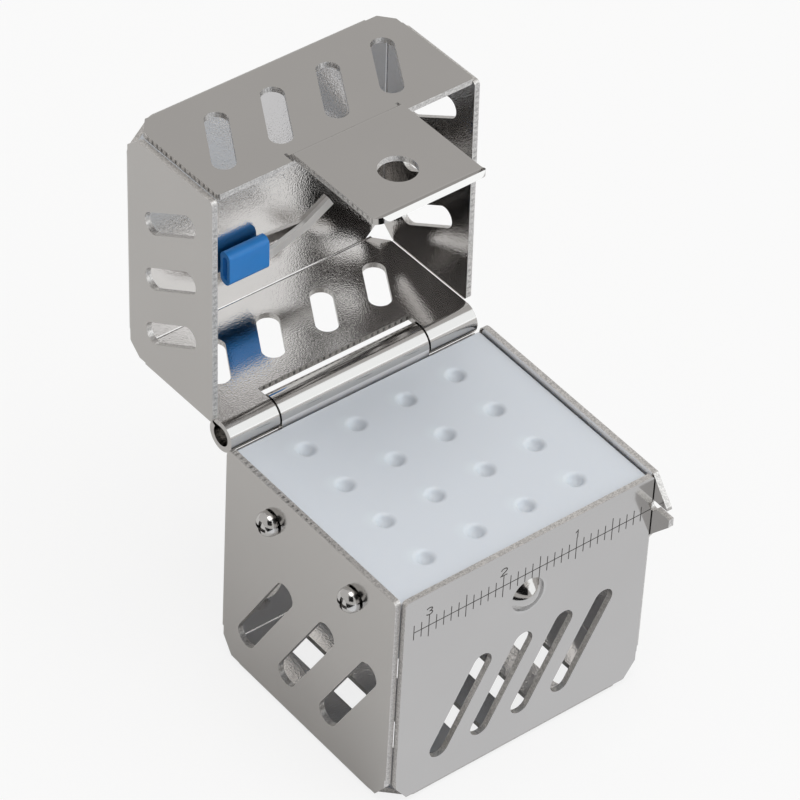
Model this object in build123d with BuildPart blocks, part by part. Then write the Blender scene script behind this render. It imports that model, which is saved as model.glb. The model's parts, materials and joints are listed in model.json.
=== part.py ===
from build123d import *
import math
import os

os.makedirs("parts", exist_ok=True)

# Endodontic file box: a folded steel body with a lid standing open on its back hinge.
# Origin: middle of the footprint, on the face the box rests on.
# X runs along the front wall, Y from the front wall to the hinge, Z is up.  Sizes in mm.

# Sheet metal
sheet = 0.7
bend_inside = 0.2
bend_outside = bend_inside + sheet
corner_gap = 0.12
rim_round = 0.5

# Body
body_width = 35.4
body_depth = 30.7
body_height = 30.6
body_relief_across = 3.0
body_relief_along = 4.3
back_rim_round = 1.0

# Hinge
barrel_radius = 1.95
pin_clearance = 0.05
pin_half_length = 14.9
pin_chamfer = 0.2
middle_knuckle_half = 10.1
knuckle_gap = 0.25
curl_opening = 56
hinge_shift = -0.2
open_angle = 91.7
wall_to_knuckle = 0.12
wall_over_knuckle = 0.2

# Lid, given as it sits when closed
lid_overhang = 0.65
lid_rim_gap = 0.35
lid_height = 15.7
lid_relief_across = 3.0
lid_relief_along = 3.6

# Latch: a dome on the body stands in a hole in the lid's tab, which is stepped out to clear the body
latch_x = 0.0
latch_below_rim = 8.05
dome_base = 2.2
dome_rise = 0.92
dish_base = 1.5
dish_rise = 0.75
tab_x = 0.0
tab_half = 7.2
tab_length = 13.2
tab_step = 0.65
tab_step_top = 1.5
tab_step_bend = 0.35
tab_notch_width = 0.35
tab_hole = 2.2
tab_hole_above_latch = 0.3
tab_corner = 1.4
lip_reach = 0.65
lip_drop = 1.15
lip_bend = 1.5

# Slots in the body
wall_slot_count = 4
front_slot_pitch = 5.6
front_slot_width = 2.6
front_slot_length = 11.05
front_slot_angle = 61.3
front_slot_z = 10.75
side_slot_count = 3
side_slot_pitch = 7.34
side_slot_width = 3.0
side_slot_length = 12.9
side_slot_angle = 119.7
side_slot_z = 11.5
side_slot_shift = -0.2
bottom_slot_pitch = 6.9
bottom_slot_width = 3.0
bottom_slot_length = 22.0

# Slots in the lid, each row's middle given above the lid's rim
lid_slot_pitch = 7.37
lid_slot_shift = -0.4
lid_slot_width = 2.65
lid_slot_angle = 60
lid_front_slot_length = 7.25
lid_front_slot_rise = 7.3
lid_back_slot_length = 5.0
lid_back_slot_rise = 8.05
lid_side_slot_pitch = 7.55
lid_side_slot_length = 7.4
lid_side_slot_rise = 7.45
lid_side_slot_shift = -0.1

# File stop: the right wall runs forward past the front wall and is notched; heights are below the body's rim
stop_upper_reach = 2.2
stop_upper_drop = 3.2
stop_lower_reach = 2.75
stop_lower_drop = 4.5
stop_lower_flat = 1.1
stop_foot_depth = 8.7
stop_foot_drop = 1.3
stop_notch_width = 1.0
stop_root_radius = 0.6

# Insert with a grid of soft dimples, each marking where a file is pushed in
insert_gap_x = 0.15
insert_gap_y = 0.15
insert_below_rim = 0.7
insert_thickness = 8.1
insert_edge = 0.3
dimple_count = 4
dimple_pitch = 6.83
dimple_shift = -0.15
dimple_radius = 0.95
dimple_depth = 0.8
dimple_edge = 0.6

# Screws through the side walls into the insert
screw_spacing = 14.2
screw_shift = -0.5
screw_below_insert_top = 3.95
screw_shank = 0.9
screw_clearance = 0.1
screw_depth = 5.0
screw_head = 1.5
screw_head_height = 1.35
screw_head_edge = 1.2
screw_standoff = 0.2
recess_width = 0.45
recess_length = 1.7
recess_depth = 0.6

# Spring clip and its soft sleeve, on the inside of the lid's top
clip_thickness = 0.5
clip_width = 1.2
clip_lift = 0.95
clip_y = 8.9
clip_bend_start = 0.0
clip_foot_start = 5.2
clip_turn = 5.5
clip_turn_y = 8.4
clip_end = 9.1
clip_end_y = 6.3
clip_paddle_width = 2.8
clip_paddle_end = -5.4
sleeve_y = 8.15
sleeve_left = -6.0
sleeve_right = -0.6
sleeve_width = 4.4
sleeve_thickness = 1.7
sleeve_edge = 0.8
sleeve_wall = 0.45

# Everything below follows from the sizes above
half_w = body_width / 2
half_d = body_depth / 2
flap_half = half_w - sheet - corner_gap
barrel_bore = barrel_radius - sheet
hinge_y = half_d - sheet + barrel_radius
hinge_z = body_height
hinge_axis = Axis((0, hinge_y, hinge_z), (1, 0, 0))
low_back_wall = hinge_z - math.sqrt((barrel_radius + wall_to_knuckle) ** 2 - barrel_bore**2)
curl_y = 2 * barrel_radius * math.sin(math.radians(90 - curl_opening))
curl_z = 2 * barrel_radius * math.cos(math.radians(90 - curl_opening))
lid_front = -half_d - lid_overhang
lid_back = half_d
lid_depth = lid_back - lid_front
lid_middle = (lid_back + lid_front) / 2
lid_rim = body_height + lid_rim_gap
lid_top = lid_rim + lid_height
latch_z = body_height - latch_below_rim
tab_hole_z = latch_z + tab_hole_above_latch
lid_front_slot_z = lid_rim + lid_front_slot_rise
lid_back_slot_z = lid_rim + lid_back_slot_rise
lid_side_slot_z = lid_rim + lid_side_slot_rise
stop_upper_z = body_height - stop_upper_drop
stop_lower_z = body_height - stop_lower_drop
stop_foot_z = body_height - stop_foot_depth
insert_top = body_height - insert_below_rim
screw_z = insert_top - screw_below_insert_top
lid_left = hinge_shift - half_w
lid_right = hinge_shift + half_w


# Body shell: one folded sheet with the middle knuckle, catch dome and file stop
with BuildPart() as body_shell:
    # bottom with its four bends
    with BuildSketch(Plane.XZ) as side_bends:
        with Locations((0, bend_outside)):
            Rectangle(body_width, 2 * bend_outside)
        with Locations((0, bend_outside + sheet)):
            Rectangle(body_width - 2 * sheet, 2 * bend_outside, mode=Mode.SUBTRACT)
        fillet(side_bends.vertices().group_by(Axis.Y)[0], bend_outside)
        fillet(side_bends.vertices().filter_by_position(Axis.Y, sheet - 0.01, sheet + 0.01), bend_inside)
    extrude(amount=half_d - bend_outside, both=True)
    with BuildSketch(Plane.YZ) as front_bends:
        with Locations((0, bend_outside)):
            Rectangle(body_depth, 2 * bend_outside)
        with Locations((0, bend_outside + sheet)):
            Rectangle(body_depth - 2 * sheet, 2 * bend_outside, mode=Mode.SUBTRACT)
        fillet(front_bends.vertices().group_by(Axis.Y)[0], bend_outside)
        fillet(front_bends.vertices().filter_by_position(Axis.Y, sheet - 0.01, sheet + 0.01), bend_inside)
    extrude(amount=half_w - bend_outside, both=True)
    # front and back walls
    with BuildSketch(Plane.XZ.offset(half_d - sheet)) as front_wall:
        with Locations((0, bend_outside)):
            Rectangle(2 * flap_half, body_height - bend_outside, align=(Align.CENTER, Align.MIN))
        fillet(front_wall.vertices().group_by(Axis.Y)[-1], rim_round)
    extrude(amount=sheet)
    with BuildSketch(Plane.XZ.offset(-half_d)):
        with Locations((0, bend_outside)):
            Rectangle(2 * flap_half, low_back_wall - bend_outside, align=(Align.CENTER, Align.MIN))
    extrude(amount=sheet)
    # side walls, their back corners rounded clear of the lid's knuckles
    for start in (-half_w, half_w - sheet):
        with BuildSketch(Plane.YZ.offset(start)) as side_wall:
            with Locations((0, bend_outside)):
                Rectangle(2 * (half_d - sheet), body_height - bend_outside, align=(Align.CENTER, Align.MIN))
            rim = side_wall.vertices().group_by(Axis.Y)[-1].sort_by(Axis.X)
            fillet(rim[0], rim_round)
            rim = side_wall.vertices().group_by(Axis.Y)[-1].sort_by(Axis.X)
            fillet(rim[-1], back_rim_round)
        extrude(amount=sheet)
    # corner reliefs
    across = half_w - body_relief_across
    for start in (half_d - bend_outside, -half_d - 0.1):
        with BuildSketch(Plane.XZ.offset(start)):
            Polygon((across, -0.1), (half_w + 0.1, -0.1), (half_w + 0.1, body_relief_along), align=None)
            mirror(about=Plane.YZ)
        extrude(amount=bend_outside + 0.1, mode=Mode.SUBTRACT)
    across = half_d - body_relief_across
    for start in (half_w - bend_outside, -half_w - 0.1):
        with BuildSketch(Plane.YZ.offset(start)):
            Polygon((across, -0.1), (half_d + 0.1, -0.1), (half_d + 0.1, body_relief_along), align=None)
            mirror(about=Plane.YZ)
        extrude(amount=bend_outside + 0.1, mode=Mode.SUBTRACT)
    legs = body_relief_across + bend_outside
    with BuildSketch(Plane.XY):
        Polygon((half_w - legs, half_d), (half_w, half_d), (half_w, half_d - legs), align=None)
        mirror(about=Plane.YZ)
        mirror(about=Plane.XZ)
    extrude(amount=sheet, mode=Mode.SUBTRACT)
    # drain slots
    with BuildSketch(Plane.XZ):
        with Locations((0, front_slot_z)):
            with GridLocations(front_slot_pitch, 1, wall_slot_count, 1):
                SlotCenterToCenter(front_slot_length, front_slot_width, rotation=front_slot_angle)
    extrude(amount=body_depth, both=True, mode=Mode.SUBTRACT)
    with BuildSketch(Plane.YZ):
        with Locations((side_slot_shift, side_slot_z)):
            with GridLocations(side_slot_pitch, 1, side_slot_count, 1):
                SlotCenterToCenter(side_slot_length, side_slot_width, rotation=side_slot_angle)
    extrude(amount=body_width, both=True, mode=Mode.SUBTRACT)
    with BuildSketch(Plane.XY):
        with GridLocations(bottom_slot_pitch, 1, wall_slot_count, 1):
            SlotCenterToCenter(bottom_slot_length, bottom_slot_width, rotation=90)
    extrude(amount=sheet, mode=Mode.SUBTRACT)
    # screw holes
    with BuildSketch(Plane.YZ):
        with Locations((screw_shift, screw_z)):
            with GridLocations(screw_spacing, 1, 2, 1):
                Circle(screw_shank + screw_clearance)
    extrude(amount=body_width, both=True, mode=Mode.SUBTRACT)
    # middle knuckle, rolled backwards from the top of the back wall
    with BuildSketch(Plane.YZ.offset(hinge_shift)):
        with Locations((hinge_y, hinge_z)):
            Circle(barrel_radius)
            Circle(barrel_bore, mode=Mode.SUBTRACT)
        Polygon(
            (hinge_y, hinge_z),
            (hinge_y - 2 * barrel_radius, hinge_z),
            (hinge_y - 2 * barrel_radius, hinge_z - 2 * barrel_radius),
            (hinge_y - curl_y, hinge_z - curl_z),
            align=None,
            mode=Mode.SUBTRACT,
        )
        with Locations((half_d - sheet, low_back_wall - 1)):
            Rectangle(sheet, hinge_z - low_back_wall + 1, align=(Align.MIN, Align.MIN))
    extrude(amount=middle_knuckle_half, both=True)
    # catch dome, pressed out of the front wall
    with BuildSketch(Plane.YZ.offset(latch_x)):
        with BuildLine():
            Line((-half_d + sheet, latch_z), (-half_d - dome_rise, latch_z))
            dome_radius = (dome_base**2 + dome_rise**2) / (2 * dome_rise)
            RadiusArc((-half_d - dome_rise, latch_z), (-half_d, latch_z + dome_base), dome_radius)
            Line((-half_d, latch_z + dome_base), (-half_d + sheet, latch_z + dome_base))
            Line((-half_d + sheet, latch_z + dome_base), (-half_d + sheet, latch_z))
        make_face()
    revolve(axis=Axis((latch_x, 0, latch_z), (0, 1, 0)))
    with BuildSketch(Plane.YZ.offset(latch_x)):
        with BuildLine():
            Line((-half_d + sheet, latch_z), (-half_d + sheet - dish_rise, latch_z))
            dish_radius = (dish_base**2 + dish_rise**2) / (2 * dish_rise)
            dish_top = (-half_d + sheet - dish_rise, latch_z)
            RadiusArc(dish_top, (-half_d + sheet, latch_z + dish_base), dish_radius)
            Line((-half_d + sheet, latch_z + dish_base), (-half_d + sheet, latch_z))
        make_face()
    revolve(axis=Axis((latch_x, 0, latch_z), (0, 1, 0)), mode=Mode.SUBTRACT)
    # file stop
    with BuildSketch(Plane.YZ.offset(half_w - sheet)):
        Polygon(
            (-half_d + 2 * sheet, body_height),
            (-half_d + sheet / 2, body_height),
            (-half_d - stop_upper_reach, stop_upper_z),
            (-half_d - stop_lower_reach, stop_lower_z),
            (-half_d - stop_lower_reach, stop_lower_z - stop_lower_flat),
            (-half_d, stop_foot_z),
            (-half_d + sheet, stop_foot_z - stop_foot_drop),
            (-half_d + 2 * sheet, stop_foot_z - stop_foot_drop),
            align=None,
        )
        with Locations((-half_d, stop_lower_z)):
            Rectangle(stop_lower_reach, stop_notch_width, align=(Align.MAX, Align.MIN), mode=Mode.SUBTRACT)
            Circle(stop_root_radius, mode=Mode.SUBTRACT)
    extrude(amount=sheet)
body_shell.part.label = "body_shell"


# Lid shell: one folded sheet with the latch tab and the two outer knuckles
with BuildPart() as lid_shell:
    # top with its four bends
    with BuildSketch(Plane.XZ.offset(-lid_middle)) as side_bends:
        with Locations((hinge_shift, lid_top - bend_outside)):
            Rectangle(body_width, 2 * bend_outside)
        with Locations((hinge_shift, lid_top - bend_outside - sheet)):
            Rectangle(body_width - 2 * sheet, 2 * bend_outside, mode=Mode.SUBTRACT)
        fillet(side_bends.vertices().group_by(Axis.Y)[-1], bend_outside)
        inner = lid_top - sheet
        under = side_bends.vertices().filter_by_position(Axis.Y, inner - 0.01, inner + 0.01)
        fillet(under, bend_inside)
    extrude(amount=lid_depth / 2 - bend_outside, both=True)
    with BuildSketch(Plane.YZ.offset(hinge_shift)) as front_bends:
        with Locations((lid_middle, lid_top - bend_outside)):
            Rectangle(lid_depth, 2 * bend_outside)
        with Locations((lid_middle, lid_top - bend_outside - sheet)):
            Rectangle(lid_depth - 2 * sheet, 2 * bend_outside, mode=Mode.SUBTRACT)
        fillet(front_bends.vertices().group_by(Axis.Y)[-1], bend_outside)
        under = front_bends.vertices().filter_by_position(Axis.Y, inner - 0.01, inner + 0.01)
        fillet(under, bend_inside)
    extrude(amount=half_w - bend_outside, both=True)
    # front and back walls
    for start in (-lid_front - sheet, -lid_back):
        with BuildSketch(Plane.XZ.offset(start)) as front_wall:
            with Locations((hinge_shift, lid_rim)):
                Rectangle(2 * flap_half, lid_height - bend_outside, align=(Align.CENTER, Align.MIN))
            fillet(front_wall.vertices().group_by(Axis.Y)[0], rim_round)
        extrude(amount=sheet)
    # side walls
    for start in (lid_left, lid_right - sheet):
        with BuildSketch(Plane.YZ.offset(start)) as side_wall:
            with Locations((lid_middle, lid_rim)):
                Rectangle(lid_depth - 2 * sheet, lid_height - bend_outside, align=(Align.CENTER, Align.MIN))
            fillet(side_wall.vertices().group_by(Axis.Y)[0], rim_round)
        extrude(amount=sheet)
    # corner reliefs
    for start in (-lid_front - bend_outside, -lid_back - 0.1):
        with BuildSketch(Plane.XZ.offset(start)):
            for edge, side in ((lid_left, 1), (lid_right, -1)):
                Polygon(
                    (edge + side * lid_relief_across, lid_top + 0.1),
                    (edge - side * 0.1, lid_top + 0.1),
                    (edge - side * 0.1, lid_top - lid_relief_along),
                    align=None,
                )
        extrude(amount=bend_outside + 0.1, mode=Mode.SUBTRACT)
    for start in (lid_left - 0.1, lid_right - bend_outside):
        with BuildSketch(Plane.YZ.offset(start)):
            for edge, side in ((lid_front, 1), (lid_back, -1)):
                Polygon(
                    (edge + side * lid_relief_across, lid_top + 0.1),
                    (edge - side * 0.1, lid_top + 0.1),
                    (edge - side * 0.1, lid_top - lid_relief_along),
                    align=None,
                )
        extrude(amount=bend_outside + 0.1, mode=Mode.SUBTRACT)
    legs = lid_relief_across + bend_outside
    with BuildSketch(Plane.XY.offset(lid_top - sheet)):
        for edge, side in ((lid_left, 1), (lid_right, -1)):
            Polygon((edge + side * legs, lid_back), (edge, lid_back), (edge, lid_back - legs), align=None)
            foot = (edge + side * legs, lid_front)
            Polygon(foot, (edge, lid_front), (edge, lid_front + legs), align=None)
    extrude(amount=sheet, mode=Mode.SUBTRACT)
    # slots
    with BuildSketch(Plane.YZ):
        with Locations((lid_side_slot_shift, lid_side_slot_z)):
            with GridLocations(lid_side_slot_pitch, 1, side_slot_count, 1):
                SlotCenterToCenter(lid_side_slot_length, lid_slot_width, rotation=lid_slot_angle)
    extrude(amount=body_width, both=True, mode=Mode.SUBTRACT)
    with BuildSketch(Plane.XZ.offset(-lid_front - 2 * sheet)):
        with Locations((lid_slot_shift, lid_front_slot_z)):
            with GridLocations(lid_slot_pitch, 1, wall_slot_count, 1):
                SlotCenterToCenter(lid_front_slot_length, lid_slot_width, rotation=lid_slot_angle)
    extrude(amount=3 * sheet, mode=Mode.SUBTRACT)
    with BuildSketch(Plane.XZ.offset(-lid_back - sheet)):
        with Locations((lid_slot_shift, lid_back_slot_z)):
            with GridLocations(lid_slot_pitch, 1, wall_slot_count, 1):
                SlotCenterToCenter(lid_back_slot_length, lid_slot_width, rotation=lid_slot_angle)
    extrude(amount=3 * sheet, mode=Mode.SUBTRACT)
    # outer knuckles, rolled backwards under the back wall, cut back over the body's knuckle
    with BuildSketch(Plane.YZ.offset(hinge_shift)):
        with Locations((hinge_y, hinge_z)):
            Circle(barrel_radius)
            Circle(barrel_bore, mode=Mode.SUBTRACT)
        Polygon(
            (hinge_y, hinge_z),
            (hinge_y - 2 * barrel_radius, hinge_z),
            (hinge_y - 2 * barrel_radius, hinge_z + 2 * barrel_radius),
            (hinge_y - curl_y, hinge_z + curl_z),
            align=None,
            mode=Mode.SUBTRACT,
        )
        with Locations((half_d - sheet, hinge_z)):
            Rectangle(sheet, lid_rim_gap + 1, align=(Align.MIN, Align.MIN))
    extrude(amount=flap_half, both=True)
    with BuildSketch(Plane.XY.offset(hinge_z - barrel_radius - 0.1)):
        with Locations((hinge_shift, half_d - sheet - 0.1)):
            cut_width = 2 * (middle_knuckle_half + knuckle_gap)
            Rectangle(cut_width, 3 * barrel_radius, align=(Align.CENTER, Align.MIN))
    extrude(amount=2 * barrel_radius + 0.1 + wall_over_knuckle, mode=Mode.SUBTRACT)
    # latch tab with its turned-out lip
    with BuildSketch(Plane.XZ.offset(-lid_front - sheet)):
        with Locations((tab_x, lid_rim)):
            Rectangle(2 * (tab_half + tab_notch_width), 2 * tab_step_top)
    extrude(amount=sheet, mode=Mode.SUBTRACT)
    wall_y = lid_front + sheet / 2
    tab_y = wall_y - tab_step
    step_middle = lid_rim + tab_step_top / 2 - 0.2
    tab_foot = lid_rim - tab_length
    with BuildSketch(Plane.YZ.offset(tab_x)):
        with BuildLine():
            FilletPolyline(
                (wall_y, lid_rim + tab_step_top),
                (wall_y, step_middle + tab_step_bend),
                (tab_y, step_middle - tab_step_bend),
                (tab_y, step_middle - 2 * tab_step_bend),
                radius=tab_step_bend,
            )
            FilletPolyline(
                (tab_y, step_middle - 2 * tab_step_bend),
                (tab_y, tab_foot),
                (tab_y - lip_reach, tab_foot - lip_drop),
                radius=lip_bend,
            )
        trace(line_width=sheet)
    extrude(amount=tab_half, both=True)
    lip_slope = lip_reach / (lip_reach**2 + lip_drop**2) ** 0.5
    lip_foot = tab_foot - lip_drop - sheet / 2 * lip_slope
    with BuildSketch(Plane.XZ.offset(-lid_front - sheet)):
        with Locations((tab_x, lip_foot + tab_corner / 2)):
            Rectangle(2 * tab_half + 1, tab_corner)
        with Locations((tab_x, lip_foot + 3 * tab_corner)):
            RectangleRounded(2 * tab_half, 6 * tab_corner, tab_corner, mode=Mode.SUBTRACT)
    extrude(amount=6 * sheet, mode=Mode.SUBTRACT)
    with BuildSketch(Plane.XZ.offset(-tab_y - sheet)):
        with Locations((latch_x, tab_hole_z)):
            Circle(tab_hole)
    extrude(amount=2 * sheet, mode=Mode.SUBTRACT)
lid_shell.part.label = "lid_shell"


# Hinge pin
with BuildPart() as hinge_pin:
    with BuildSketch(Plane.YZ.offset(hinge_shift)):
        with Locations((hinge_y, hinge_z)):
            Circle(barrel_bore - pin_clearance)
    extrude(amount=pin_half_length, both=True)
    chamfer(hinge_pin.edges().filter_by(GeomType.CIRCLE), pin_chamfer)
hinge_pin.part.label = "hinge_pin"


# Insert
insert_half_w = half_w - sheet - insert_gap_x
insert_half_d = half_d - sheet - insert_gap_y
with BuildPart() as file_insert:
    with BuildSketch(Plane.XY.offset(insert_top - insert_thickness)):
        Rectangle(2 * insert_half_w, 2 * insert_half_d)
    extrude(amount=insert_thickness)
    fillet(file_insert.edges(), insert_edge)
    dimple_sphere = (dimple_radius**2 + dimple_depth**2) / (2 * dimple_depth)
    with Locations((dimple_shift, 0, insert_top - dimple_depth + dimple_sphere)):
        with GridLocations(dimple_pitch, dimple_pitch, dimple_count, dimple_count):
            Sphere(dimple_sphere, mode=Mode.SUBTRACT)
    mouths = file_insert.faces().sort_by(Axis.Z)[-1].inner_wires().edges()
    fillet(mouths, dimple_edge)
    for side in (-1, 1):
        with BuildSketch(Plane.YZ.offset(side * insert_half_w)):
            with Locations((screw_shift, screw_z)):
                with GridLocations(screw_spacing, 1, 2, 1):
                    Circle(screw_shank)
        extrude(amount=-side * screw_depth, mode=Mode.SUBTRACT)
file_insert.part.label = "file_insert"


# Screws, the right rear one first
with BuildPart() as screw_right_rear:
    screw_y = screw_shift + screw_spacing / 2
    with BuildSketch(Plane.YZ.offset(half_w + screw_standoff)):
        with Locations((screw_y, screw_z)):
            Circle(screw_head)
    extrude(amount=screw_head_height)
    fillet(screw_right_rear.edges().group_by(Axis.X)[-1], screw_head_edge)
    with BuildSketch(Plane.YZ.offset(insert_half_w - screw_depth)):
        with Locations((screw_y, screw_z)):
            Circle(screw_shank)
    extrude(amount=screw_depth + insert_gap_x + sheet + screw_standoff)
    with BuildSketch(Plane.YZ.offset(half_w + screw_standoff + screw_head_height - recess_depth)):
        with Locations((screw_y, screw_z)):
            Rectangle(recess_length, recess_width)
            Rectangle(recess_width, recess_length)
    extrude(amount=recess_depth, mode=Mode.SUBTRACT)
screw_right_rear.part.label = "screw_right_rear"

with BuildPart() as screw_right_front:
    add(screw_right_rear.part.moved(Location((0, -screw_spacing, 0))))
screw_right_front.part.label = "screw_right_front"

with BuildPart() as screw_left_rear:
    add(screw_right_rear.part.mirror(Plane.YZ))
screw_left_rear.part.label = "screw_left_rear"

with BuildPart() as screw_left_front:
    add(screw_right_front.part.mirror(Plane.YZ))
screw_left_front.part.label = "screw_left_front"


# Spring clip: a flat foot on the lid's top, a ramp, and a paddle inside the sleeve
clip_foot = lid_top - sheet - clip_thickness / 2
with BuildPart() as clip_blade:
    with BuildSketch(Plane.XZ.offset(-sleeve_y)):
        with BuildLine():
            FilletPolyline(
                (clip_paddle_end, clip_foot - clip_lift),
                (clip_bend_start, clip_foot - clip_lift),
                (clip_foot_start, clip_foot),
                (clip_end + clip_width, clip_foot),
                radius=3,
            )
        trace(line_width=clip_thickness)
    extrude(amount=2 * sleeve_width, both=True)
    with BuildSketch(Plane.XY.offset(lid_top - 3 * sheet)):
        with BuildLine():
            FilletPolyline(
                (clip_paddle_end, clip_y),
                (clip_bend_start, clip_y),
                (clip_turn, clip_turn_y),
                (clip_end, clip_end_y),
                radius=2 * clip_width,
            )
        trace(line_width=clip_width)
        paddle_length = sleeve_right - sleeve_wall - clip_paddle_end
        with Locations((clip_paddle_end + paddle_length / 2, sleeve_y)):
            Rectangle(paddle_length, clip_paddle_width)
    extrude(amount=3 * sheet, mode=Mode.INTERSECT)
clip_blade.part.label = "clip_blade"


# Sleeve: a flattened tube, open at its left end
sleeve_z = clip_foot - clip_lift
with BuildPart() as clip_sleeve:
    with BuildSketch(Plane.YZ.offset(sleeve_left)):
        with Locations((sleeve_y, sleeve_z)):
            RectangleRounded(sleeve_width, sleeve_thickness, sleeve_edge)
            bore_height = sleeve_thickness - 2 * sleeve_wall
            RectangleRounded(clip_paddle_width + 0.2, bore_height, 0.35, mode=Mode.SUBTRACT)
    extrude(amount=sleeve_right - sleeve_left)
clip_sleeve.part.label = "clip_sleeve"


# The lid and what it carries, turned open about the hinge
lid_open = lid_shell.part.rotate(hinge_axis, -open_angle)
clip_blade_open = clip_blade.part.rotate(hinge_axis, -open_angle)
clip_sleeve_open = clip_sleeve.part.rotate(hinge_axis, -open_angle)

export_step(body_shell.part, "parts/body_shell.step")
export_step(lid_open, "parts/lid_shell.step")
export_step(hinge_pin.part, "parts/hinge_pin.step")
export_step(file_insert.part, "parts/file_insert.step")
export_step(screw_right_rear.part, "parts/screw_right_rear.step")
export_step(screw_right_front.part, "parts/screw_right_front.step")
export_step(screw_left_rear.part, "parts/screw_left_rear.step")
export_step(screw_left_front.part, "parts/screw_left_front.step")
export_step(clip_blade_open, "parts/clip_blade.step")
export_step(clip_sleeve_open, "parts/clip_sleeve.step")
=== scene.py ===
"""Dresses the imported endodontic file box: its finishes, the ruler's marks and a plain stage."""

import json
import math

import bpy
from mathutils import Matrix, Vector
from mathutils.bvhtree import BVHTree


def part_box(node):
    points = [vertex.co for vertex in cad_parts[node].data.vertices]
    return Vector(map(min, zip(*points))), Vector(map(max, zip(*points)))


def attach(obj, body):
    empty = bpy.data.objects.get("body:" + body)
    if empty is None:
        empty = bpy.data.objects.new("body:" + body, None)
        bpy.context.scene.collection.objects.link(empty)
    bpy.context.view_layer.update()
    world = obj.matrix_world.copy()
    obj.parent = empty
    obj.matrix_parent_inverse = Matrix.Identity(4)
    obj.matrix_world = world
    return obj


bl_info = {
    "name": "Endodontic File Box",
    "version": (1, 0, 0),
    "blender": (4, 5, 0),
    "location": "View3D > Sidebar > File Box",
    "description": "Finishes, ruler marks and a plain stage for a small perforated steel file box",
    "category": "Object",
}

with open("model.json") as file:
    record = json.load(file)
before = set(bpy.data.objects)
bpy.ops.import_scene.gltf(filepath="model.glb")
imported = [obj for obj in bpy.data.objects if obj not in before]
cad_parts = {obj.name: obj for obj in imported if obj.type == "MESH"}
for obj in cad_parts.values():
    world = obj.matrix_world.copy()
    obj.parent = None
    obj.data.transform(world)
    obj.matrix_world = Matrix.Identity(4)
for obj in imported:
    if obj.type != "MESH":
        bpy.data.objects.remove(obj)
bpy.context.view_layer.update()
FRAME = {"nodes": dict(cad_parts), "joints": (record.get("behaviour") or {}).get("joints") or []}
NODES = FRAME["nodes"]
BODY_LOW, BODY_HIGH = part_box("body_shell")
HINGE = FRAME["joints"][0]

MM = 0.001
SHEET = 0.7 * MM
FRONT_FACE = -15.35 * MM
LID_FRONT = -16.0 * MM
TAB_FRONT = -16.65 * MM
HINGE_Y, HINGE_Z = HINGE["pos_m"][1:]
BARREL_REACH = 2.0 * MM
DOME_Z = 22.55 * MM
DOME_REACH = 2.3 * MM
DOME_SKIRT = 2.75 * MM
DOME_SWELL = 0.95 * MM
LIP_HEIGHT = 1.6 * MM
DIMPLE_PITCH = 6.83 * MM
DIMPLE_SHIFT = -0.15 * MM
# A face with metal deeper than this behind it, in thicknesses of the sheet, is a cut edge
EDGE_DEPTH = 1.3
# How far under a face the look behind it starts, in thicknesses of the sheet
EDGE_START = 0.02
# How far from the middle of a wall its own cut edges may lie, in thicknesses of the sheet
WALL_REACH = 0.6
# The most that a cut edge may face along the axis that its wall faces
EDGE_LEAN = 0.5
# How far ahead of a face to look when telling the inside of a shell from the outside
LOOK_AHEAD = 1.5 * MM
# Painted light and shade on the inner steel: what its colour is multiplied by, lighter in the body and darker
# in the lid
BODY_PAINTED_LIGHT = 1.3
LID_PAINTED_SHADE = 0.92
# From one pit of a cut edge to the next, in mm
PIT_STEP = 0.82
FLOOR_HALF = 1.5
FLOOR_LEVEL = -0.05 * MM
# How much of what the camera sees of the floor is plain white. The rest takes light and shadow
FLOOR_GLOW = 0.82
# How bright the world is to every ray but the camera's own
WORLD_STRENGTH = 0.61
LAMP_AIM = Vector((0, 0, 0.03))
CARD_DISTANCE = 0.62
# The dark cards' colour, and the pale card's painted light on the floor
CARD_DARK = (0.01, 0.01, 0.01)
CARD_PAINTED_LIGHT = (0.835, 0.85, 0.875)
# A stroke widens at its corners by no more than one over this
STROKE_CORNER = 0.5
# The digits' strokes, in parts of their height
DIGITS = {
    1: ((-0.26, 0.72), (0.06, 1.0), (0.06, 0.0)),
    2: (
        (-0.40, 0.76), (-0.30, 0.92), (-0.10, 1.0), (0.14, 1.0), (0.34, 0.90), (0.40, 0.73),
        (0.30, 0.55), (-0.12, 0.28), (-0.42, 0.0), (0.44, 0.0),
    ),
    3: (
        (-0.38, 0.86), (-0.22, 0.97), (0.04, 1.0), (0.28, 0.93), (0.36, 0.77), (0.26, 0.60), (0.0, 0.53),
        (0.28, 0.45), (0.40, 0.27), (0.30, 0.08), (0.04, 0.0), (-0.24, 0.03), (-0.42, 0.15),
    ),
}


def colour(name, description, default):
    return bpy.props.FloatVectorProperty(
        name=name, description=description, subtype="COLOR", size=3, min=0, max=1, default=default
    )


def length(name, description, default):
    return bpy.props.FloatProperty(
        name=name, description=description, unit="LENGTH", precision=5, default=default
    )


def angle(name, description, degrees):
    return bpy.props.FloatProperty(
        name=name, description=description, subtype="ANGLE", default=math.radians(degrees)
    )


def shaded(paint, factor):
    """A colour multiplied by a factor."""
    return tuple(min(1, c * factor) for c in paint)


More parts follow.
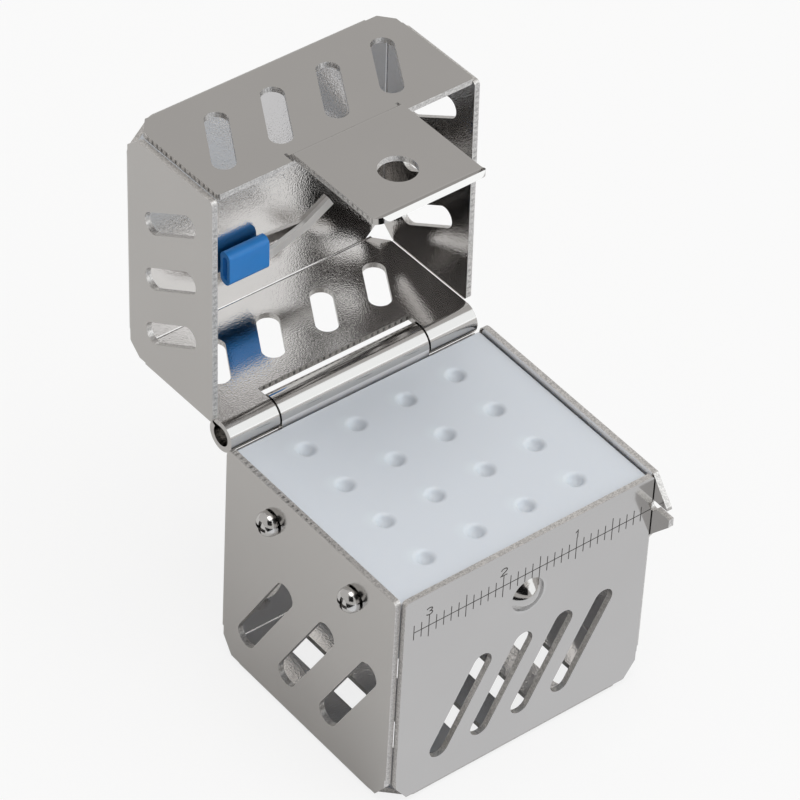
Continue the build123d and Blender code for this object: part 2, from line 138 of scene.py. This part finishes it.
class FileBoxFinishes(bpy.types.PropertyGroup):
    steel: colour("Steel", "Colour of the polished sheet steel", (0.56, 0.545, 0.53))
    steel_roughness: bpy.props.FloatProperty(
        name="Steel roughness", description="How far the sheet blurs a reflection", default=0.12, min=0, max=1
    )
    # The inner steel's colour is painted lighter than the outer steel's, as painted light inside the box and
    # the lid
    inner: colour("Inner steel", "Colour of the steel inside the box and the lid", (0.72, 0.70, 0.685))
    bright: colour("Bright steel", "Colour of the screws and the pin", (0.66, 0.65, 0.64))
    spring: colour("Spring steel", "Colour of the clip's blade", (0.90, 0.88, 0.86))
    insert: colour("Insert", "Colour of the soft file insert", (0.695, 0.735, 0.79))
    sleeve: colour("Sleeve", "Colour of the clip's soft sleeve", (0.028, 0.31, 0.88))
    mark: colour("Ruler marks", "Colour of the engraved marks", (0.035, 0.03, 0.028))


class FileBoxRuler(bpy.types.PropertyGroup):
    zero: length("Zero", "Where the ruler starts, along the front", 16.4 * MM)
    count: bpy.props.IntProperty(name="Millimetres", description="How many millimetres it counts", default=32)
    level: length("Level", "Height of the ruler's long line", 25.8 * MM)
    left_end: length("Left end", "Where the long line ends", -15.6 * MM)
    right_end: length("Right end", "Where the long line starts", 16.85 * MM)
    half_tick: length("Half tick", "Half the length of a millimetre tick", 1.05 * MM)
    half_long_tick: length("Half long tick", "Half the length of each fifth tick", 1.6 * MM)
    line: length("Line", "Width of the engraved lines", 0.10 * MM)
    proud: length("Proud", "How far the marks stand in front of the steel", 0.012 * MM)
    digit_foot: length("Digit foot", "Height of the digits' lower edge", 27.4 * MM)
    digit_height: length("Digit height", "Height of the digits", 1.0 * MM)
    digit_line: length("Digit line", "Width of the digits' strokes", 0.13 * MM)


class FileBoxStage(bpy.types.PropertyGroup):
    azimuth: angle("Azimuth", "Where the camera stands round the box", -40.235)
    elevation: angle("Elevation", "How far the camera looks down", 42.025)
    roll: angle("Roll", "How far the camera leans", 3.219)
    distance: length("Distance", "From the camera to the box", 524.489 * MM)
    across: length("Across", "How far the camera is moved to its right", -4.263 * MM)
    upwards: length("Upwards", "How far the camera is moved up", 9.699 * MM)
    target: length("Target", "Height that the camera's line passes through", 26 * MM)
    lens: bpy.props.FloatProperty(name="Lens", description="Focal length in millimetres", default=219.56)


class Value:
    """A shader socket that Python's operators work on."""

    def __init__(self, tree, socket):
        self.tree = tree
        self.socket = socket

    def maths(self, operation, *others):
        values = dict(enumerate((self, *others)))
        return self.tree.node("ShaderNodeMath", {"operation": operation}, values)

    def held(self, low, high):
        """The value, held between two limits."""
        return self.maths("MINIMUM", high).maths("MAXIMUM", low)

    def reflected(self, operation, other):
        return self.tree.node("ShaderNodeMath", {"operation": operation}, {0: other, 1: self})

    def __add__(self, other):
        return self.maths("ADD", other)

    def __radd__(self, other):
        return self.reflected("ADD", other)

    def __sub__(self, other):
        return self.maths("SUBTRACT", other)

    def __rsub__(self, other):
        return self.reflected("SUBTRACT", other)

    def __mul__(self, other):
        return self.maths("MULTIPLY", other)

    def __rmul__(self, other):
        return self.reflected("MULTIPLY", other)

    def __truediv__(self, other):
        return self.maths("DIVIDE", other)

    def __rtruediv__(self, other):
        return self.reflected("DIVIDE", other)


class Tree:
    """A material's or the world's nodes."""

    def __init__(self, owner):
        owner.use_nodes = True
        self.nodes = owner.node_tree.nodes
        self.links = owner.node_tree.links
        self.nodes.clear()

    def node(self, kind, settings=None, values=None, output=0):
        made = self.nodes.new(kind)
        for name, setting in (settings or {}).items():
            setattr(made, name, setting)
        for name, value in (values or {}).items():
            socket = made.inputs[name]
            if isinstance(value, Value):
                self.links.new(value.socket, socket)
            elif socket.type == "RGBA":
                socket.default_value = (*value, 1)
            else:
                socket.default_value = value
        return Value(self, made.outputs[output]) if len(made.outputs) else None

    def place(self):
        return self.node("ShaderNodeTexCoord", output="Object")

    def noise(self, scale, detail, vector=None):
        values = {"Vector": vector or self.place(), "Scale": scale, "Detail": detail}
        return self.node("ShaderNodeTexNoise", None, values)

    def split(self, vector):
        parts = self.node("ShaderNodeSeparateXYZ", None, {"Vector": vector})
        return tuple(Value(self, socket) for socket in parts.socket.node.outputs)

    def stretched(self, x, y, z):
        values = {"Vector": self.place(), "Scale": (x, y, z)}
        return self.node("ShaderNodeMapping", None, values)

    def mix(self, factor, first, second):
        # A Mix node's sockets for colours come after those for numbers and vectors
        settings = {"data_type": "RGBA"}
        return self.node("ShaderNodeMix", settings, {0: factor, 6: first, 7: second}, output=2)

    def mottled(self, pattern, paint, darkest):
        """A colour that falls to a darker shade of itself where the pattern is low."""
        return self.mix(pattern, shaded(paint, darkest), tuple(paint))

    def bump(self, height, strength, distance, under=None):
        values = {"Height": height, "Strength": strength, "Distance": distance}
        if under:
            values["Normal"] = under
        return self.node("ShaderNodeBump", None, values)

    def surface(self, **values):
        named = {name.replace("_", " "): value for name, value in values.items()}
        self.end(self.node("ShaderNodeBsdfPrincipled", None, named))

    def end(self, shader, kind="ShaderNodeOutputMaterial"):
        self.node(kind, None, {"Surface": shader})


def shear_faces(mesh):
    """The faces of a sheet's cut edges: those with more metal behind them than the sheet is thick."""
    tree = BVHTree.FromPolygons([v.co for v in mesh.vertices], [p.vertices for p in mesh.polygons])
    found = []
    for face in mesh.polygons:
        start = face.center - face.normal * SHEET * EDGE_START
        hit = tree.ray_cast(start, -face.normal)
        if hit[3] is None or hit[3] > SHEET * EDGE_DEPTH:
            found.append(face)
    return found


def sheet_plane(place, normal, walls):
    """The axis faced by the wall that a cut edge belongs to, and the middle of that wall's thickness."""
    for axis, low, high in walls:
        for middle in (low, high):
            if abs(place[axis] - middle) < SHEET * WALL_REACH and abs(normal[axis]) < EDGE_LEAN:
                return axis, middle
    return None


def store_edge_runs(mesh, faces, walls, upright, pitted):
    """Gives the corners of each cut edge their place along it and across it, in mm, and how pitted it is."""
    runs = mesh.attributes.new("edge_run", "FLOAT_VECTOR", "CORNER")
    for face in faces:
        centre = upright @ face.center
        normal = (upright.to_3x3() @ face.normal).normalized()
        plane = sheet_plane(centre, normal, walls)
        if plane is None:
            continue
        axis, middle = plane
        way = Vector((0, 0, 0))
        way[axis] = 1
        along = normal.cross(way).normalized()
        pits = pitted(centre / MM, normal)
        for loop in face.loop_indices:
            place = upright @ mesh.vertices[mesh.loops[loop].vertex_index].co
            runs.data[loop].vector = (along.dot(place) / MM, (place[axis] - middle) / MM, pits)


# The next two are given a place in mm, with the lid closed, and the way that the cut edge faces
def body_pits(place, normal):
    """How pitted the body's edges are: the left rim's rear half most, the slots a little, the rest hardly."""
    if normal.z > 0.7 and place.z > 29:
        return 1.0 if place.x < -16.9 and place.y > -3 else 0.1
    if abs(place.x) > 16.9 and abs(normal.y) > 0.9 and abs(place.y) > 14:
        return 0.1
    return 0.15


def lid_pits(place, normal):
    """How pitted the closed lid's edges are: the front wall's sides and the edge over the hinge most."""
    side = abs(place.x + 0.2) > 16.6
    if side and abs(normal.y) > 0.7 and place.y < -13:
        return 0.0
    if place.y < -16.2:
        return 0.7 if abs(normal.x) > 0.7 else 0.0
    if place.y < -15.2:
        return 1.0 if side else 0.1 if normal.z < -0.7 and place.z < 32 else 0.3
    if normal.z < -0.7 and place.z < 36:
        return 0.4 if side else 1.0
    return 0.15


def sheet_steel(finishes):
    """Polished stainless sheet: a rolled grain, soft smudges, and a fuller swell on the latch's dome."""
    material = bpy.data.materials.new("sheet_steel")
    tree = Tree(material)
    smudge = tree.noise(90, detail=3)
    grain = tree.noise(1, detail=2, vector=tree.stretched(600, 600, 9000))
    paint = tree.mottled(smudge, finishes.steel, 0.94)
    rough = finishes.steel_roughness + (smudge - 0.5) * 0.06 + (grain - 0.5) * 0.03
    x, y, z = tree.split(tree.place())
    reach = 1 - ((x / DOME_SKIRT).maths("POWER", 2.0) + ((z - DOME_Z) / DOME_SKIRT).maths("POWER", 2.0))
    swell = reach.maths("MAXIMUM", 0.0).maths("POWER", 2.0) * y.maths("LESS_THAN", FRONT_FACE + 0.1 * MM)
    dent = tree.noise(160, detail=1)
    flat = tree.bump(dent * 0.7 + grain * 0.02, 0.12, 0.00005)
    normal = tree.bump(swell, 1.0, DOME_SWELL, under=flat)
    tree.surface(Base_Color=paint, Metallic=1.0, Roughness=rough, Normal=normal)
    return material


def inner_steel(finishes, name, painted_light_and_shade):
    """The sheet's inner side: sharper and pebbled by the polishing, with painted light: its colour is lighter
    than the outer steel's, and is multiplied by a factor of painted light and shade.
    """
    material = bpy.data.materials.new(name)
    tree = Tree(material)
    smudge = tree.noise(200, detail=3)
    pebble = tree.noise(5200, detail=1)
    wave = tree.noise(260, detail=1)
    paint = tree.mottled(smudge, shaded(finishes.inner, painted_light_and_shade), 0.93)
    normal = tree.bump(pebble * 0.6 + wave * 0.4, 0.5, 0.00005)
    tree.surface(Base_Color=paint, Metallic=1.0, Roughness=0.07 + smudge * 0.05, Normal=normal)
    return material


def cut_steel(finishes):
    """The sheet's cut edges, with the small pits that the cutter leaves at even steps along them: dented by a
    bump, and darkened with painted shade.
    """
    material = bpy.data.materials.new("cut_steel")
    tree = Tree(material)
    settings = {"attribute_type": "GEOMETRY", "attribute_name": "edge_run"}
    run = tree.node("ShaderNodeAttribute", settings, output="Vector")
    along, across, pitted = tree.split(run)
    worn = tree.noise(420, detail=2)
    speck = tree.noise(6000, detail=2)
    beat = (along * (2 * math.pi / PIT_STEP) + worn).maths("SINE")
    pit = (beat * 2.2 - 0.4).held(0.0, 1.0)
    inside = (1.5 - across.maths("ABSOLUTE") * 4.4).held(0.0, 1.0)
    patchy = (worn * 3.0 - 0.7).held(0.3, 1.0)
    # The pits are dented by the bump and darkened with painted shade in the colour
    dark = pit * inside * pitted * patchy
    grain = (speck * 3.4 - 1.2).held(0.0, 1.0)
    clean = tree.mix(grain, shaded(finishes.steel, 0.85), shaded(finishes.steel, 1.36))
    paint = tree.mix(dark, clean, shaded(finishes.steel, 0.32))
    normal = tree.bump(speck * 0.25 - dark, 0.5, 0.00006)
    tree.surface(Base_Color=paint, Metallic=0.8, Roughness=0.36 + dark * 0.2, Normal=normal)
    return material


def bright_steel(finishes):
    """Turned and polished steel of the screws and the pin."""
    material = bpy.data.materials.new("bright_steel")
    tree = Tree(material)
    fine = tree.noise(900, detail=2)
    paint = tree.mottled(fine, finishes.bright, 0.9)
    rough = 0.12 + fine * 0.08
    tree.surface(Base_Color=paint, Metallic=1.0, Roughness=rough, Normal=tree.bump(fine, 0.1, 0.00002))
    return material


def spring_steel(finishes):
    """The clip's blade: tumbled steel, duller than the sheet it lies on."""
    material = bpy.data.materials.new("spring_steel")
    tree = Tree(material)
    fine = tree.noise(1800, detail=3)
    stain = tree.noise(300, detail=2)
    paint = tree.mottled(stain, finishes.spring, 0.85)
    rough = 0.38 + (fine - 0.5) * 0.2
    tree.surface(Base_Color=paint, Metallic=0.45, Roughness=rough, Normal=tree.bump(fine, 0.3, 0.00004))
    return material


def from_grid(value, shift):
    """How far a place is from the nearest line of dimples, and whether it is inside their grid."""
    cells = (value - shift) / DIMPLE_PITCH
    inside = cells.maths("ABSOLUTE").maths("LESS_THAN", 2.0)
    return (cells.maths("FRACT") - 0.5) * (DIMPLE_PITCH / MM), inside


def insert_silicone(finishes):
    """Milky, slightly see-through silicone: a soft skin, and dimples whose shade is partly real and partly
    painted shade in the colour, beside a painted pale highlight.
    """
    material = bpy.data.materials.new("insert_silicone")
    tree = Tree(material)
    cloud = tree.noise(120, detail=2)
    skin = tree.noise(2500, detail=3)
    x, y, _ = tree.split(tree.place())
    across, within_x = from_grid(x, DIMPLE_SHIFT)
    along, within_y = from_grid(y, 0.0)
    near = within_x * within_y
    # Painted shade centred a little off each dimple's middle, and a painted pale highlight further off on the
    # other side
    low = ((across - 0.25).maths("POWER", 2.0) + (along + 0.25).maths("POWER", 2.0)).maths("SQRT")
    high = ((across + 0.7).maths("POWER", 2.0) + (along - 0.7).maths("POWER", 2.0)).maths("SQRT")
    shade = (1 - low / 1.15).maths("MAXIMUM", 0.0) * near
    painted_halo = (1 - high / 1.6).maths("MAXIMUM", 0.0) * near
    skin_paint = tree.mottled(cloud, finishes.insert, 0.985)
    # The skin's colour takes the painted pale highlight, then darkens with the painted shade in the dimples
    skin_with_painted_halo = tree.mix(painted_halo * 0.5, skin_paint, (0.76, 0.83, 0.87))
    paint = tree.mix((shade * 1.3).maths("MINIMUM", 0.6), skin_with_painted_halo, shaded(finishes.insert, 0.80))
    tree.surface(
        Base_Color=paint,
        Roughness=0.42 + (skin - 0.5) * 0.08,
        Subsurface_Weight=0.25,
        Subsurface_Radius=(0.8, 0.9, 1.0),
        Subsurface_Scale=0.0008,
        Normal=tree.bump(skin, 0.08, 0.00003),
    )
    return material


def sleeve_silicone(finishes):
    """Blue silicone with a slight gloss."""
    material = bpy.data.materials.new("sleeve_silicone")
    tree = Tree(material)
    cloud = tree.noise(400, detail=2)
    paint = tree.mottled(cloud, finishes.sleeve, 0.85)
    tree.surface(Base_Color=paint, Roughness=0.33 + cloud * 0.1, Normal=tree.bump(cloud, 0.15, 0.00004))
    return material


def mark_black(finishes):
    """The dark etch in the ruler's lines."""
    material = bpy.data.materials.new("mark_black")
    tree = Tree(material)
    worn = tree.noise(4000, detail=2)
    paint = tree.mix(worn, tuple(finishes.mark), shaded(finishes.mark, 2.2))
    tree.surface(Base_Color=paint, Roughness=0.55 + worn * 0.15, Metallic=0.0)
    return material


def dress(node, *materials):
    """Gives a node or a piece its materials, one to a slot."""
    mesh = node.data
    mesh.materials.clear()
    for material in materials:
        mesh.materials.append(material)


def dress_sheet(node, steels, walls, upright, plain, pitted):
    """Gives a shell its outer and inner finish and its cut edges theirs, apart from those plain() names."""
    dress(node, *steels)
    mesh = node.data
    turn = upright.to_3x3()
    corners = [upright @ v.co for v in mesh.vertices if not by_hinge(upright @ v.co)]
    low = [min(c[i] for c in corners) for i in range(3)]
    high = [max(c[i] for c in corners) for i in range(3)]
    # The first wall listed for an axis is the one that bounds the shell
    for axis, first, last in reversed(walls):
        if first < last:
            low[axis], high[axis] = first, last
    edges = [face for face in shear_faces(mesh) if not plain(upright @ face.center)]
    for face in mesh.polygons:
        ahead = upright @ face.center + (turn @ face.normal) * LOOK_AHEAD
        inner = all(low[i] < ahead[i] < high[i] for i in range(3)) and not by_hinge(upright @ face.center)
        face.material_index = 2 if inner else 0
    for face in edges:
        face.material_index = 1
    store_edge_runs(mesh, edges, walls, upright, pitted)


def plain_on_body(place):
    """Whether a place lies on the hinge's barrel or on the latch's dome, which have no cut edge."""
    return by_hinge(place) or (place.y < 0 and math.hypot(place.x, place.z - DOME_Z) < DOME_REACH)


def by_hinge(place):
    """Whether a place lies on the hinge's barrel."""
    return math.hypot(place.y - HINGE_Y, place.z - HINGE_Z) < BARREL_REACH


def lid_closed():
    """The turn that brings the lid, stored open, back to its closed place."""
    turn = Matrix.Rotation(math.radians(HINGE["range_deg"][1]), 4, "X")
    axis = Matrix.Translation(Vector(HINGE["pos_m"]))
    return axis @ turn @ axis.inverted()


class FILEBOX_OT_finish_steel(bpy.types.Operator):
    """Gives both shells their sheet finish and cut edges, and the clip's blade, pin and screws their steel"""

    bl_idname = "filebox.finish_steel"
    bl_label = "Finish the Steel"

    def execute(self, context):
        finishes = context.scene.filebox_finishes
        steels = (sheet_steel(finishes), cut_steel(finishes))
        # The body's inner steel is painted lighter and the lid's a little darker, as painted light and shade
        body_steels = (*steels, inner_steel(finishes, "inner_steel_painted_light", BODY_PAINTED_LIGHT))
        lid_steels = (*steels, inner_steel(finishes, "inner_steel", LID_PAINTED_SHADE))
        bright = bright_steel(finishes)
        half = SHEET / 2
        low, high = BODY_LOW.x + half, BODY_HIGH.x - half
        body_walls = ((0, low, high), (1, FRONT_FACE + half, -FRONT_FACE - half), (2, half, half))
        as_stored = Matrix.Identity(4)
        dress_sheet(NODES["body_shell"], body_steels, body_walls, as_stored, plain_on_body, body_pits)
        upright = lid_closed()
        corners = [upright @ v.co for v in NODES["lid_shell"].data.vertices]
        left, right = min(c.x for c in corners) + half, max(c.x for c in corners) - half
        top = max(c.z for c in corners) - half
        lip = min(c.z for c in corners) + LIP_HEIGHT
        lid_walls = (
            (0, left, right),
            (1, LID_FRONT + half, -FRONT_FACE - half),
            (1, TAB_FRONT + half, 0),
            (2, top, top),
        )

        def plain_on_lid(place):
            return by_hinge(place) or place.z < lip

        dress_sheet(NODES["lid_shell"], lid_steels, lid_walls, upright, plain_on_lid, lid_pits)
        dress(NODES["hinge_pin"], bright)
        dress(NODES["clip_blade"], spring_steel(finishes))
        for name in NODES:
            if name.startswith("screw_"):
                dress(NODES[name], bright)
        return {"FINISHED"}


class FILEBOX_OT_finish_soft(bpy.types.Operator):
    """Gives the insert and the clip's sleeve their silicone finishes"""

    bl_idname = "filebox.finish_soft"
    bl_label = "Finish the Insert and Sleeve"

    def execute(self, context):
        finishes = context.scene.filebox_finishes
        dress(NODES["file_insert"], insert_silicone(finishes))
        dress(NODES["clip_sleeve"], sleeve_silicone(finishes))
        return {"FINISHED"}


def new_object(name, corners, faces):
    mesh = bpy.data.meshes.new(name)
    mesh.from_pydata(corners, [], faces)
    made = bpy.data.objects.new(name, mesh)
    bpy.context.scene.collection.objects.link(made)
    return made


def rectangle(name, across, deep, level=0):
    """A flat rectangle round the origin, from half its width, half its depth and its height."""
    corners = [(-across, -deep, level), (across, -deep, level), (across, deep, level), (-across, deep, level)]
    return new_object(name, corners, [(0, 1, 2, 3)])


def stroke(name, points, foot, height, width, front):
    """A line of even width through the points, flat on the front wall."""
    path = [Vector((foot[0] + x * height, foot[1] + z * height)) for x, z in points]
    ways = [(b - a).normalized() for a, b in zip(path, path[1:])]
    corners = []
    for place, before, after in zip(path, [ways[0], *ways], [*ways, ways[-1]]):
        middle = (before + after).normalized()
        half = Vector((-middle.y, middle.x)) * (width / 2 / max(STROKE_CORNER, middle.dot(before)))
        corners += [(place.x + half.x, front, place.y + half.y), (place.x - half.x, front, place.y - half.y)]
    return new_object(name, corners, [(i, i + 1, i + 3, i + 2) for i in range(0, len(corners) - 2, 2)])


def flat_bars(name, bars, front):
    """One mesh of thin upright rectangles, each given as its left, right, lower and upper edges."""
    corners = []
    faces = []
    for left, right, low, high in bars:
        first = len(corners)
        corners += [(left, front, low), (right, front, low), (right, front, high), (left, front, high)]
        faces.append((first, first + 1, first + 2, first + 3))
    return new_object(name, corners, faces)


class FILEBOX_OT_ruler(bpy.types.Operator):
    """Engraves the millimetre ruler along the top of the front wall"""

    bl_idname = "filebox.ruler"
    bl_label = "Engrave the Ruler"

    def execute(self, context):
        ruler = context.scene.filebox_ruler
        mark = mark_black(context.scene.filebox_finishes)
        front = FRONT_FACE - ruler.proud
        half = ruler.line / 2
        bars = [(ruler.left_end, ruler.right_end, ruler.level - half, ruler.level + half)]
        for step in range(1, ruler.count + 1):
            x = ruler.zero - step * MM
            reach = ruler.half_long_tick if step % 5 == 0 else ruler.half_tick
            bars.append((x - half, x + half, ruler.level - reach, ruler.level + reach))
        lines = flat_bars("ruler_lines", bars, front)
        dress(lines, mark)
        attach(lines, "base")
        for digit, points in DIGITS.items():
            foot = (ruler.zero - digit * 10 * MM, ruler.digit_foot)
            made = stroke(f"ruler_digit_{digit}", points, foot, ruler.digit_height, ruler.digit_line, front)
            dress(made, mark)
            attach(made, "base")
        return {"FINISHED"}


class FILEBOX_OT_stage(bpy.types.Operator):
    """Sets the floor, the lamps, the cards, the world, and the camera at the photograph's angle"""

    bl_idname = "filebox.stage"
    bl_label = "Set the Stage"

    def execute(self, context):
        scene = context.scene
        stage = scene.filebox_stage
        scene.view_settings.view_transform = "Standard"
        self.floor()
        self.lamps(context)
        self.cards(stage)
        self.world(scene)
        self.camera(scene, stage)
        return {"FINISHED"}

    def floor(self):
        floor = rectangle("floor", FLOOR_HALF, FLOOR_HALF, FLOOR_LEVEL)
        material = bpy.data.materials.new("floor_white")
        tree = Tree(material)
        paint = tree.node("ShaderNodeBsdfDiffuse", None, {"Color": (0.8, 0.8, 0.8)})
        glow = tree.node("ShaderNodeEmission", None, {"Color": (1, 1, 1), "Strength": 1.0})
        seen = tree.node("ShaderNodeLightPath", output="Is Camera Ray")
        tree.end(tree.node("ShaderNodeMixShader", None, {0: seen * FLOOR_GLOW, 1: paint, 2: glow}))
        dress(floor, material)

    def lamps(self, context):
        # Each lamp's name, place, size, power and colour, and whether it is left out of diffuse light
        softboxes = (
            ("lamp_top", (0.0, -0.1, 1.1), 0.7, 3.3, (1.0, 0.99, 0.98), False),
            ("lamp_right", (0.6, -0.8, 0.72), 1.1, 3.8, (0.90, 0.96, 1.0), False),
            ("lamp_low", (0.48, -0.88, 0.17), 0.3, 0.08, (0.95, 0.98, 1.0), True),
        )
        for name, place, size, power, shade, for_gloss in softboxes:
            light = bpy.data.lights.new(name, "AREA")
            light.size = size
            light.energy = power
            light.color = shade
            lamp = bpy.data.objects.new(name, light)
            lamp.location = place
            lamp.visible_diffuse = not for_gloss
            aim = LAMP_AIM - Vector(place)
            lamp.rotation_mode = "QUATERNION"
            lamp.rotation_quaternion = aim.to_track_quat("-Z", "Y")
            context.scene.collection.objects.link(lamp)

    def cards(self, stage):
        """Cards that only reflections see: two dark ones for contrast, one behind the camera and one on the
        floor to the left, which is a painted shadow; and a pale glowing one on the floor in front, which is
        painted light for the front wall.
        """
        back = self.back(stage)
        floor_up = Vector((0, 0, 1))
        # Each card's name, place, facing, half width, half depth and glow
        placed = (
            ("card_high", back * CARD_DISTANCE, back, 0.24, 0.24, CARD_DARK),
            # A painted shadow on the floor to the left, and painted light on the floor in front, seen only in
            # reflections
            ("card_left_painted_shadow", Vector((-0.17, -0.13, 0.0004)), floor_up, 0.12, 0.12, CARD_DARK),
            ("card_front_painted_light", Vector((0.10, -0.1155, 0.0002)), floor_up, 0.15, 0.10, CARD_PAINTED_LIGHT),
        )
        for name, place, facing, across, deep, glow in placed:
            material = bpy.data.materials.new(name)
            tree = Tree(material)
            tree.end(tree.node("ShaderNodeEmission", None, {"Color": glow, "Strength": 1.0}))
            card = rectangle(name, across, deep)
            card.location = place
            card.rotation_mode = "QUATERNION"
            card.rotation_quaternion = facing.to_track_quat("Z", "Y")
            card.visible_camera = False
            card.visible_diffuse = False
            card.visible_shadow = False
            dress(card, material)

    def world(self, scene):
        world = bpy.data.worlds.new("studio")
        scene.world = world
        tree = Tree(world)
        seen = tree.node("ShaderNodeLightPath", output="Is Camera Ray")
        soft = {"Color": (1.0, 0.985, 0.965), "Strength": WORLD_STRENGTH}
        plain = tree.node("ShaderNodeBackground", None, soft)
        white = tree.node("ShaderNodeBackground", None, {"Color": (1, 1, 1), "Strength": 1.0})
        mixed = tree.node("ShaderNodeMixShader", None, {0: seen, 1: plain, 2: white})
        tree.end(mixed, "ShaderNodeOutputWorld")

    def back(self, stage):
        """The way from the box to the camera."""
        return Vector(
            (
                math.sin(stage.azimuth) * math.cos(stage.elevation),
                -math.cos(stage.azimuth) * math.cos(stage.elevation),
                math.sin(stage.elevation),
            )
        )

    def camera(self, scene, stage):
        back = self.back(stage)
        level = Vector((math.cos(stage.azimuth), math.sin(stage.azimuth), 0))
        rise = back.cross(level)
        right = level * math.cos(stage.roll) + rise * math.sin(stage.roll)
        up = rise * math.cos(stage.roll) - level * math.sin(stage.roll)
        data = bpy.data.cameras.new("camera")
        data.sensor_width = 36
        data.lens = stage.lens
        data.clip_start = 0.01
        camera = bpy.data.objects.new("camera", data)
        scene.collection.objects.link(camera)
        turn = Matrix((right, up, back)).transposed().to_4x4()
        aimed = Vector((0, 0, stage.target)) + back * stage.distance
        place = aimed + right * stage.across + up * stage.upwards
        camera.matrix_world = Matrix.Translation(place) @ turn
        scene.camera = camera


class FILEBOX_PT_panel(bpy.types.Panel):
    """The file box's finishes, ruler and stage"""

    bl_idname = "FILEBOX_PT_panel"
    bl_label = "Endodontic File Box"
    bl_space_type = "VIEW_3D"
    bl_region_type = "UI"
    bl_category = "File Box"

    def draw(self, context):
        layout = self.layout
        groups = (
            (context.scene.filebox_finishes, ("filebox.finish_steel", "filebox.finish_soft")),
            (context.scene.filebox_ruler, ("filebox.ruler",)),
            (context.scene.filebox_stage, ("filebox.stage",)),
        )
        for group, operators in groups:
            box = layout.box()
            for name in group.__annotations__:
                box.prop(group, name)
            for operator in operators:
                box.operator(operator)


CLASSES = (
    FileBoxFinishes,
    FileBoxRuler,
    FileBoxStage,
    FILEBOX_OT_finish_steel,
    FILEBOX_OT_finish_soft,
    FILEBOX_OT_ruler,
    FILEBOX_OT_stage,
    FILEBOX_PT_panel,
)


def register():
    for item in CLASSES:
        bpy.utils.register_class(item)
    bpy.types.Scene.filebox_finishes = bpy.props.PointerProperty(type=FileBoxFinishes)
    bpy.types.Scene.filebox_ruler = bpy.props.PointerProperty(type=FileBoxRuler)
    bpy.types.Scene.filebox_stage = bpy.props.PointerProperty(type=FileBoxStage)


def unregister():
    del bpy.types.Scene.filebox_stage
    del bpy.types.Scene.filebox_ruler
    del bpy.types.Scene.filebox_finishes
    for item in reversed(CLASSES):
        bpy.utils.unregister_class(item)


def main():
    register()
    bpy.ops.filebox.finish_steel()
    bpy.ops.filebox.finish_soft()
    bpy.ops.filebox.ruler()
    bpy.ops.filebox.stage()


if __name__ == "__main__":
    main()
